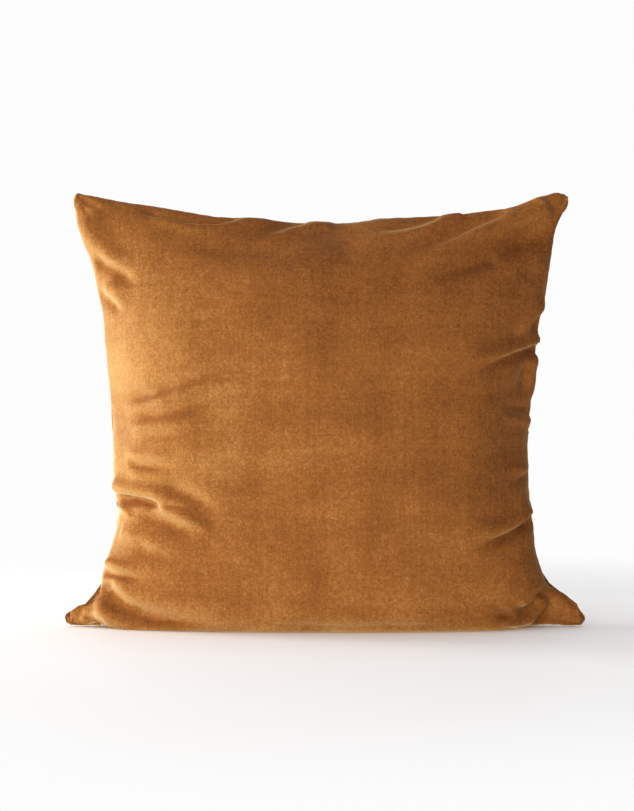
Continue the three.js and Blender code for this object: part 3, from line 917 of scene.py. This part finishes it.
def wovenMaterial(name, look):
    material, tree, shader = newMaterial(name)
    place = objectCoordinates(tree)
    waves = []
    for direction in ("X", "Y", "Z"):
        yarn = node(tree, "ShaderNodeTexWave", Scale=look["weave"] / 6.28, Distortion=0.6, Detail=1.0)
        yarn.bands_direction = direction
        tree.links.new(place, yarn.inputs["Vector"])
        waves.append(yarn.outputs["Fac"])
    crossing = maths(tree, "MULTIPLY", maths(tree, "MULTIPLY_ADD", waves[0], 0.5, 0.5),
                     maths(tree, "MULTIPLY_ADD", waves[2], 0.5, 0.5))
    crossing = maths(tree, "MULTIPLY_ADD", waves[1], 0.3, maths(tree, "MULTIPLY", crossing, 0.7))
    slubs = noise(tree, objectCoordinates(tree, (30, 30, 240)), 1.0, 3)
    soil = noise(tree, place, 18, 4)
    tone = maths(tree, "MULTIPLY_ADD", soil, 0.35, maths(tree, "MULTIPLY", crossing, 0.45))
    tone = maths(tree, "MULTIPLY_ADD", slubs, 0.35, tone)
    colour = ramp(tree, tone, [(0.3, look["second"]), (0.75, look["colour"])])
    tree.links.new(colour, shader.inputs["Base Color"])
    tree.links.new(maths(tree, "MULTIPLY_ADD", slubs, 0.12, look["rough"] - 0.06), shader.inputs["Roughness"])
    shader.inputs["Sheen Weight"].default_value = 0.15
    tree.links.new(bump(tree, crossing, 0.5, 0.0002), shader.inputs["Normal"])
    return material


def threadMaterial(name, light, dark):
    material, tree, shader = newMaterial(name)
    ply = node(tree, "ShaderNodeTexWave", Scale=420, Distortion=1.0, Detail=2.0)
    ply.bands_direction = "DIAGONAL"
    tree.links.new(objectCoordinates(tree), ply.inputs["Vector"])
    fuzz = noise(tree, objectCoordinates(tree), 1500, 2)
    tone = maths(tree, "MULTIPLY_ADD", fuzz, 0.4, maths(tree, "MULTIPLY", ply.outputs["Fac"], 0.6))
    tree.links.new(ramp(tree, tone, [(0.2, dark), (0.8, light)]), shader.inputs["Base Color"])
    tree.links.new(maths(tree, "MULTIPLY_ADD", fuzz, 0.2, 0.5), shader.inputs["Roughness"])
    shader.inputs["Sheen Weight"].default_value = 0.2
    tree.links.new(bump(tree, tone, 0.4, 0.0001), shader.inputs["Normal"])
    return material


def fibreMaterial():
    material, tree, shader = newMaterial("fibreFill")
    place = objectCoordinates(tree)
    strands = noise(tree, objectCoordinates(tree, (60, 60, 420), (0.5, 0.3, 0.2)), 1.0, 5, 0.7, 2.0)
    tufts = noise(tree, place, 60, 4, 0.6, 0.8)
    tone = maths(tree, "MULTIPLY_ADD", tufts, 0.5, maths(tree, "MULTIPLY", strands, 0.5))
    colour = ramp(tree, tone, [(0.3, (0.62, 0.61, 0.59)), (0.65, (0.87, 0.87, 0.86))])
    tree.links.new(colour, shader.inputs["Base Color"])
    tree.links.new(maths(tree, "MULTIPLY_ADD", strands, 0.1, 0.88), shader.inputs["Roughness"])
    shader.inputs["Sheen Weight"].default_value = 0.4
    tree.links.new(bump(tree, strands, 0.7, 0.0012, bump(tree, tufts, 0.6, 0.004)), shader.inputs["Normal"])
    return material


def nylonMaterial():
    material, tree, shader = newMaterial("nylonCoil")
    cloud = noise(tree, objectCoordinates(tree), 320, 3)
    colour = ramp(tree, cloud, [(0.3, (0.21, 0.082, 0.022)), (0.7, (0.33, 0.145, 0.045))])
    tree.links.new(colour, shader.inputs["Base Color"])
    tree.links.new(maths(tree, "MULTIPLY_ADD", cloud, 0.2, 0.28), shader.inputs["Roughness"])
    shader.inputs["IOR"].default_value = 1.53
    shader.inputs["Subsurface Weight"].default_value = 0.05
    return material


def metalMaterial():
    material, tree, shader = newMaterial("agedBrass")
    place = objectCoordinates(tree)
    wear = noise(tree, place, 420, 5, 0.6)
    scratches = noise(tree, objectCoordinates(tree, (4000, 260, 260), (0, 0.2, 0.1)), 1.0, 2)
    colour = ramp(tree, wear, [(0.3, (0.30, 0.20, 0.09)), (0.7, (0.62, 0.46, 0.22))])
    tree.links.new(colour, shader.inputs["Base Color"])
    shader.inputs["Metallic"].default_value = 1.0
    rough = maths(tree, "MULTIPLY_ADD", scratches, 0.2, maths(tree, "MULTIPLY_ADD", wear, 0.2, 0.14))
    tree.links.new(rough, shader.inputs["Roughness"])
    shader.inputs["Anisotropic"].default_value = 0.2
    tree.links.new(bump(tree, scratches, 0.25, 0.00005), shader.inputs["Normal"])
    return material


cambric = wovenMaterial("whiteCambric", smallLooks["cambric"])
tapeCloth = wovenMaterial("zipTape", smallLooks["tape"])
satin = wovenMaterial("labelSatin", smallLooks["satin"])
ochreThread = threadMaterial("ochreThread", (0.42, 0.19, 0.055), (0.22, 0.085, 0.022))
whiteThread = threadMaterial("whiteThread", (0.85, 0.84, 0.81), (0.60, 0.59, 0.56))
fibre = fibreMaterial()
nylon = nylonMaterial()
brass = metalMaterial()


# ---- insert: a plain white case, sewn and filled like the cover, and the fibre inside it

insert = dict(cover)
insert.update({
    "squares": 56, "edgeRings": (0.003, 0.009), "cut": (0.432, 0.420), "frames": 14, "halfDepth": 0.0865,
    "floor": 0.013, "bulge": 0.09, "allowance": 0.006, "thickness": 0.0005, "clear": 0.0026,
    "left": [(-203, 24), (-196, 34), (-186, 60), (-178, 110), (-179, 170), (-183, 230), (-190, 290),
             (-196, 338), (-198, 356), (-199, 364)],
    "right": [(203, 24), (196, 34), (184, 60), (176, 110), (174, 160), (178, 215), (184, 285), (189, 338),
              (186, 352), (186, 360)],
    "top": [(-199, 364), (-190, 368), (-172, 369), (-110, 367), (0, 363), (110, 367), (160, 367), (178, 365),
            (186, 360)],
    "bottom": [(-203, 24), (-190, 19), (-100, 17), (0, 17), (100, 17), (190, 19), (203, 24)],
})
fill = {"gap": 0.0026, "seamGap": 0.008, "seamReach": 0.014, "lump": 0.0022, "lumpSizes": (0.018, 0.035),
        "seed": 5}


def keepInside(mesh, shell, gap):
    # moves a form's points in wherever they come nearer than the gap to the inside of the shell
    tree = BVHTree.FromPolygons([Vector(place) for place in readPlaces(shell)],
                                [list(face.vertices) for face in shell.polygons])
    for vertex in mesh.vertices:
        for number in range(12):
            x, y, z = vertex.co
            front = tree.ray_cast(Vector((x, -0.3, z)), Vector((0, 1, 0)))[0]
            back = tree.ray_cast(Vector((x, 0.3, z)), Vector((0, -1, 0)))[0]
            if front is not None and back is not None:
                low, high = front.y + gap, back.y - gap
                if low < high and low < 0 < high:
                    vertex.co.y = min(max(y, low), high)
                    break
            vertex.co.x = x * 0.985
            vertex.co.z = z + (0.19 - z) * 0.015
    mesh.update()


insertSeams = {side: curveThrough(insert[side]) for side in ("left", "right", "top", "bottom")}
case, flat = sewnCase(insert, insertSeams, "insertCase")
casing = inflate(case, flat, insert, smoothing=1)
pinRim(casing, insertSeams)
soften(casing, 0.5, 3, reach=0.10)
settle(casing, insert["halfDepth"], floor=insert["floor"], sink=0.004)
soften(casing, 0.5, 2)
keepInside(casing, filled, cover["thickness"] + insert["clear"])
soften(casing, 0.5, 2)
keepInside(casing, filled, cover["thickness"] + insert["clear"])
casingFront = panelFrom(casing, -1, "insert_casing_front", cambric, insert["allowance"],
                        slotted=False, split=0.0001)
casingBack = panelFrom(casing, 1, "insert_casing_back", cambric, insert["allowance"],
                       slotted=False, split=0.0001)
for panel, cadName in ((casingFront, "insert_casing_front"), (casingBack, "insert_casing_back")):
    clothWall(panel, insert["thickness"])
    finishPiece(panel, cadName)


def fibreBody():
    mesh = casing.copy()
    mesh.name = "insert_fill"
    places, outward = readPlaces(mesh), outwardOf(mesh)
    u, v = readLayer(mesh, "across"), readLayer(mesh, "up")
    away = np.minimum((1 - np.abs(u)) * insert["cut"][0] / 2, (1 - np.abs(v)) * insert["cut"][1] / 2)
    chance = random.Random(fill["seed"])
    lumps = np.zeros(len(places))
    for number in range(12):
        size = chance.uniform(*fill["lumpSizes"])
        heading = np.array([chance.gauss(0, 1) for axis in range(3)])
        heading /= np.linalg.norm(heading)
        lumps += np.sin(places @ heading * 2 * math.pi / size + chance.uniform(0, 6.28))
    lumps = fill["lump"] * (lumps / 12 + 0.3)
    gap = fill["gap"] + fill["seamGap"] * np.exp(-(away / fill["seamReach"]) ** 2)
    gap = gap + np.maximum(lumps, -0.0008)
    places -= outward * gap[:, None]
    moveTo(mesh, places)
    soften(mesh, 0.4, 1)
    mesh.materials.clear()
    mesh.materials.append(fibre)
    for face in mesh.polygons:
        face.use_smooth = True
    piece = bpy.data.objects.new("insert_fill", mesh)
    scene.collection.objects.link(piece)
    return piece


fillPiece = fibreBody()
finishPiece(fillPiece, "insert_fill")
print("insert sewn and filled")


# ---- seam threads

stitch = {"pitch": 0.0032, "length": 0.0026, "radius": 0.00023, "inset": 0.0038}


def stitchesAlong(name, line, look, material, lean=0.12):
    # one small stitch after another along a line of points
    bm = bmesh.new()
    run = np.linalg.norm(np.diff(line, axis=0), axis=1).sum()
    count = int(run / look["pitch"])
    middles = alongCurve(line, (np.arange(count) + 0.5) / count)
    ahead = alongCurve(line, np.clip((np.arange(count) + 0.6) / count, 0, 1))
    for number, (place, after) in enumerate(zip(middles, ahead)):
        way = Vector(after - place).normalized()
        turn = Vector((1, 0, 0)).rotation_difference(way).to_matrix().to_4x4()
        tilt = Matrix.Rotation(lean * (1 if number % 2 else -1) * 0.5, 4, "Z")
        shape = Matrix.Diagonal((look["length"] / 2, look["radius"], look["radius"], 1))
        place = Matrix.Translation(place) @ turn @ tilt @ shape
        bmesh.ops.create_icosphere(bm, subdivisions=1, radius=1.0, matrix=place)
    return objectFrom(bm, name, material)


def rimLine(mesh, edge, inset):
    # the seam's own line on one side of a case, drawn in by the stitches' inset
    u, v, places = readLayer(mesh, "across"), readLayer(mesh, "up"), readPlaces(mesh)
    chosen, order = {"left": (u < -1 + 1e-5, v), "right": (u > 1 - 1e-5, v),
                     "top": (v > 1 - 1e-5, u), "bottom": (v < -1 + 1e-5, u)}[edge]
    index = np.nonzero(chosen)[0]
    index = index[np.argsort(order[index])]
    line = places[index]
    way = np.gradient(line, axis=0)
    way /= np.linalg.norm(way, axis=1)[:, None]
    turned = np.stack([way[:, 2], 0 * way[:, 0], -way[:, 0]], -1) * (1 if edge in ("left", "top") else -1)
    return line + turned * inset, order[index]


def threadPiece(mesh, edge, node, material, behind, keep):
    line, share = rimLine(mesh, edge, stitch["inset"])
    line = line[keep(line, share)]
    line[:, 1] = behind
    piece = stitchesAlong(node, line, stitch, material)
    return finishPiece(piece, node)


inner = cover["thickness"] + 0.00015 + 0.0004
for edge in ("left", "right", "top"):
    threadPiece(filled, edge, "cover_seam_thread_" + edge, ochreThread, inner,
                lambda line, share: np.abs(share) < 0.93)
threadPiece(filled, "bottom", "cover_seam_thread_bottom_left", ochreThread, inner,
            lambda line, share: (line[:, 0] < opening["left"]) & (line[:, 0] > -0.238))
threadPiece(filled, "bottom", "cover_seam_thread_bottom_right", ochreThread, inner,
            lambda line, share: (line[:, 0] > opening["right"] + 0.005) & (line[:, 0] < 0.238))
for edge in ("left", "right", "top"):
    threadPiece(casing, edge, "insert_seam_thread_" + edge, whiteThread,
                insert["thickness"] + 0.0001 + 0.0004, lambda line, share: np.abs(share) < 0.90)
print("seams stitched")


# ---- zip: two tapes with wound coils, their stitches, stops, slider and pull

tapeLow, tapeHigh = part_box("zip_tape_back")
coilLow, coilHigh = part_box("zip_coil_front")
sliderLow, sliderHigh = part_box("zip_slider")
pullLow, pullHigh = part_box("zip_pull_tab")
endTrim = 0.0025  # the tape is cut this much short of its CAD length at each end
zipper = {
    "height": (tapeLow[2] + tapeHigh[2]) / 2,
    "tape": {"left": tapeLow[0] + endTrim, "right": tapeHigh[0] - endTrim, "inner": tapeLow[1], "outer": tapeHigh[1],
             "thickness": tapeHigh[2] - tapeLow[2], "endWidth": 0.25, "endReach": 0.020},
    "coil": {"left": coilLow[0], "right": coilHigh[0], "wire": 0.00026, "radius": 0.00074, "pitch": 0.0012,
             "middle": 0.00124, "flatness": 0.94, "steps": 10, "sides": 6, "lengths": 12},
    "stitch": {"pitch": 0.0032, "length": 0.0026, "radius": 0.00022},
    "stitchPlace": 0.00975,
    "slider": {"middle": (sliderLow[0] + sliderHigh[0]) / 2, "length": sliderHigh[0] - sliderLow[0],
               "halfWidth": sliderHigh[1], "channel": 0.0013, "plate": 0.001,
               "flange": 0.001, "web": 0.00024},
    "pull": {"halfWidth": pullHigh[1], "pivot": (pullLow[2] + pullHigh[2]) / 2, "hole": 0.0012},
}


def tapePiece(half, sign):
    look = zipper["tape"]
    bm = bmesh.new()
    bmesh.ops.create_grid(bm, x_segments=240, y_segments=12, size=0.5)
    width, length = look["outer"] - look["inner"], look["right"] - look["left"]
    bmesh.ops.scale(bm, verts=bm.verts[:], vec=(length, width, 1))
    along, aside = (look["left"] + look["right"]) / 2, (look["inner"] + look["outer"]) / 2
    middle = (along, sign * aside, zipper["height"])
    bmesh.ops.translate(bm, verts=bm.verts[:], vec=middle)
    for vertex in bm.verts:  # the ends are folded in narrow, under the cover's corners
        fromEnd = min(vertex.co.x - look["left"], look["right"] - vertex.co.x)
        kept = look["endWidth"] + (1 - look["endWidth"]) * float(smoothStep(0.002, look["endReach"], fromEnd))
        vertex.co.y = sign * (look["inner"] + (abs(vertex.co.y) - look["inner"]) * kept)
    for vertex in bm.verts:  # the edges are a little wavy, as woven tape lies
        share = (abs(vertex.co.y) - look["inner"]) / width
        vertex.co.y += sign * 0.00008 * math.sin(vertex.co.x * 900) * share
        vertex.co.z += 0.00010 * math.sin(vertex.co.x * 130 + sign) * share
    bmesh.ops.solidify(bm, geom=bm.faces[:], thickness=look["thickness"])
    bmesh.ops.recalc_face_normals(bm, faces=bm.faces[:])
    low, high = min(v.co.z for v in bm.verts), max(v.co.z for v in bm.verts)
    bmesh.ops.translate(bm, verts=bm.verts[:], vec=(0, 0, zipper["height"] - (low + high) / 2))
    piece = objectFrom(bm, "zip_tape_" + half, tapeCloth, smooth=False)
    return finishPiece(piece, "zip_tape_" + half)


def coilPiece(half, sign):
    look = zipper["coil"]
    bm = bmesh.new()
    bmesh.ops.create_circle(bm, segments=look["sides"], radius=look["wire"], cap_ends=False)
    bmesh.ops.rotate(bm, verts=bm.verts[:], cent=(0, 0, 0), matrix=Matrix.Rotation(math.pi / 2, 3, "X"))
    bmesh.ops.translate(bm, verts=bm.verts[:], vec=(0, 0, look["radius"]))
    turns = int((look["right"] - look["left"] - 2 * look["wire"]) / look["pitch"] / look["lengths"])
    bmesh.ops.spin(bm, geom=bm.verts[:] + bm.edges[:], cent=(0, 0, 0), axis=(1, 0, 0),
                   dvec=(look["pitch"] / look["steps"], 0, 0), angle=2 * math.pi * turns,
                   steps=turns * look["steps"])
    wound = bm.verts[:] + bm.edges[:] + bm.faces[:]
    for number in range(1, look["lengths"]):  # the winding goes on in equal lengths
        more = bmesh.ops.duplicate(bm, geom=wound)["geom"]
        bmesh.ops.translate(bm, verts=[v for v in more if isinstance(v, bmesh.types.BMVert)],
                            vec=(turns * look["pitch"] * number, 0, 0))
    bmesh.ops.remove_doubles(bm, verts=[v for v in bm.verts if v.is_boundary], dist=2e-5)
    bmesh.ops.holes_fill(bm, edges=[e for e in bm.edges if e.is_boundary], sides=look["sides"])
    bmesh.ops.recalc_face_normals(bm, faces=bm.faces[:])
    bmesh.ops.scale(bm, verts=bm.verts[:], vec=(1, look["flatness"], 1))
    spare = look["right"] - look["left"] - turns * look["lengths"] * look["pitch"]
    offset = look["left"] + spare / 2 + (look["pitch"] / 4 if sign > 0 else -look["pitch"] / 4)
    bmesh.ops.translate(bm, verts=bm.verts[:], vec=(offset, sign * look["middle"], zipper["height"]))
    return finishPiece(objectFrom(bm, "zip_coil_" + half, nylon), "zip_coil_" + half)


def zipStitches(half, sign):
    place, look = zipper["stitchPlace"], zipper["stitch"]
    tape = zipper["tape"]
    above = zipper["height"] + tape["thickness"] / 2 + look["radius"] + 0.0003
    xs = np.linspace(opening["left"] + 0.001, opening["right"] - 0.001, 120)
    line = np.stack([xs, 0 * xs + sign * place, 0 * xs + above], -1)
    piece = stitchesAlong("zip_stitching_" + half, line, look, ochreThread)
    return finishPiece(piece, "zip_stitching_" + half)


def roundedBlock(bm, low, high, soft, segments=3):
    made = bmesh.ops.create_cube(bm, size=1.0)["verts"]
    size = Vector(high) - Vector(low)
    bmesh.ops.scale(bm, verts=made, vec=size)
    bmesh.ops.translate(bm, verts=made, vec=(Vector(high) + Vector(low)) / 2)
    edges = list({e for v in made for e in v.link_edges})
    bmesh.ops.bevel(bm, geom=edges, offset=soft, segments=segments, profile=0.5, affect="EDGES", material=-1)


def stopPiece(name):
    low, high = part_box(name)
    bm = bmesh.new()
    depth = high[2] - low[2]
    thirds = np.linspace(low[0], high[0], 4)  # three pressed lobes of one crimp
    roundedBlock(bm, (low[0], low[1], low[2] + depth * 0.06), (high[0], high[1], high[2] - depth * 0.06),
                 0.00035)
    for number in range(3):
        middle = (thirds[number] + thirds[number + 1]) / 2
        roundedBlock(bm, (middle - 0.00036, low[1], low[2]), (middle + 0.00036, high[1], high[2]), 0.00022)
    return finishPiece(objectFrom(bm, name, brass), name)


def sliderPiece():
    look = zipper["slider"]
    x, z, wide, half = look["middle"], zipper["height"], look["halfWidth"], look["length"] / 2
    bm = bmesh.new()
    for sign in (1, -1):  # plates above and below, each wider at the closing end
        near, far = look["channel"], look["channel"] + look["plate"]
        low, high = sorted((z + sign * near, z + sign * far))
        before = set(bm.verts)
        roundedBlock(bm, (x - half, -wide, low), (x + half, wide, high), 0.0003)
        for vertex in set(bm.verts) - before:
            share = (vertex.co.x - (x - half)) / look["length"]
            vertex.co.y *= 0.84 + 0.16 * min(1, share * 1.6)
        for hand in (1, -1):
            inner, outer = sorted((hand * (wide * 0.84 - look["flange"]), hand * wide * 0.84))
            edge = z + sign * (zipper["tape"]["thickness"] / 2 + 0.0004)
            flangeLow, flangeHigh = sorted((edge, z + sign * (near + 0.0003)))
            roundedBlock(bm, (x - half + 0.0004, inner, flangeLow), (x + half - 0.0016, outer, flangeHigh),
                         0.0002, 2)
    roundedBlock(bm, (x + half - 0.0032, -look["web"], z - look["channel"] - 0.0002),
                 (x + half - 0.0006, look["web"], z + look["channel"] + 0.0002), 0.0001, 1)
    # the lug under the lower plate is a small arch
    under = z - look["channel"] - look["plate"]
    profile = bmesh.ops.create_grid(bm, x_segments=1, y_segments=1, size=0.5)["verts"]
    bmesh.ops.scale(bm, verts=profile, vec=(0.0007, 0.0018, 1))
    bmesh.ops.translate(bm, verts=profile, vec=(x + 0.0019, 0, under + 0.0002))
    faces = list({f for v in profile for f in v.link_faces})
    bmesh.ops.spin(bm, geom=profile + faces + list({e for f in faces for e in f.edges}),
                   cent=(x, 0, under + 0.0002), axis=(0, 1, 0), angle=math.pi, steps=14)
    bmesh.ops.recalc_face_normals(bm, faces=bm.faces[:])
    return finishPiece(objectFrom(bm, "zip_slider", brass), "zip_slider", body="slider")


def pullPiece():
    look = zipper["pull"]
    low, high = pullLow, pullHigh
    bottom, top = low[2], high[2]
    bm = bmesh.new()
    made = bmesh.ops.create_cube(bm, size=1.0)["verts"]
    wideEnd = high[0] - 0.0046
    bmesh.ops.scale(bm, verts=made, vec=(wideEnd - low[0], 2 * look["halfWidth"], top - bottom))
    bmesh.ops.translate(bm, verts=made, vec=((wideEnd + low[0]) / 2, 0, (top + bottom) / 2))
    upright = [e for e in bm.edges if abs(e.verts[0].co.z - e.verts[1].co.z) > 1e-5]
    tail = [e for e in upright if e.verts[0].co.x < low[0] + 1e-5]
    bmesh.ops.bevel(bm, geom=tail, offset=look["halfWidth"] * 0.96, segments=10, profile=0.5, affect="EDGES",
                    material=-1)
    head = [e for e in bm.edges
            if abs(e.verts[0].co.z - e.verts[1].co.z) > 1e-5 and e.verts[0].co.x > wideEnd - 1e-5]
    bmesh.ops.bevel(bm, geom=head, offset=0.0012, segments=4, profile=0.5, affect="EDGES", material=-1)
    flatFaces = [f for f in bm.faces if abs(f.normal.z) > 0.9]
    bmesh.ops.inset_region(bm, faces=flatFaces, thickness=0.00045, depth=-0.00012)  # a low raised rim
    for hand in (1, -1):  # two arms carry the bar that passes through the lug
        inner, outer = sorted((hand * 0.0012, hand * 0.0020))
        roundedBlock(bm, (wideEnd - 0.0007, inner, bottom), (high[0], outer, top), 0.00015, 2)
    roundedBlock(bm, (high[0] - 0.0008, -0.0019, bottom), (high[0], 0.0019, top), 0.00025, 3)
    bmesh.ops.recalc_face_normals(bm, faces=bm.faces[:])
    piece = objectFrom(bm, "zip_pull_tab", brass)
    drill = bmesh.new()
    bmesh.ops.create_cone(drill, cap_ends=True, segments=32, radius1=look["hole"], radius2=look["hole"],
                          depth=0.006, matrix=Matrix.Translation((low[0] + look["halfWidth"], 0, look["pivot"])))
    cutter = objectFrom(drill, "drill", brass)
    hole = piece.modifiers.new("hole", "BOOLEAN")
    hole.operation, hole.object, hole.solver = "DIFFERENCE", cutter, "EXACT"
    drilled = bpy.data.meshes.new_from_object(piece.evaluated_get(bpy.context.evaluated_depsgraph_get()))
    piece.modifiers.clear()
    piece.data = drilled
    bpy.data.objects.remove(cutter, do_unlink=True)
    return finishPiece(piece, "zip_pull_tab", body="pull")


for half, sign in (("front", -1), ("back", 1)):
    tapePiece(half, sign)
    coilPiece(half, sign)
    zipStitches(half, sign)
    stopPiece("zip_top_stop_" + half)
stopPiece("zip_bottom_stop")
sliderPiece()
pullPiece()
print("zip made")


# ---- blank labels

labels = {
    "cover_care_label": {"segments": (16, 16), "wave": 0.00008},
    "insert_label": {"segments": (14, 22), "wave": 0.00008},
}


def labelPiece(name, look):
    low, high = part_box(name)
    bm = bmesh.new()
    bmesh.ops.create_grid(bm, x_segments=look["segments"][0], y_segments=look["segments"][1], size=0.5)
    bmesh.ops.scale(bm, verts=bm.verts[:], vec=(high[0] - low[0], high[1] - low[1], 1))
    middle = ((high[0] + low[0]) / 2, (high[1] + low[1]) / 2, (high[2] + low[2]) / 2)
    bmesh.ops.translate(bm, verts=bm.verts[:], vec=middle)
    for vertex in bm.verts:
        vertex.co.z += look["wave"] * (math.sin(vertex.co.x * 260) + math.sin(vertex.co.y * 190 + 1))
    bmesh.ops.solidify(bm, geom=bm.faces[:], thickness=0.00025)
    bmesh.ops.recalc_face_normals(bm, faces=bm.faces[:])
    return finishPiece(objectFrom(bm, name, satin), name)


for name, look in labels.items():
    labelPiece(name, look)
print("labels made")
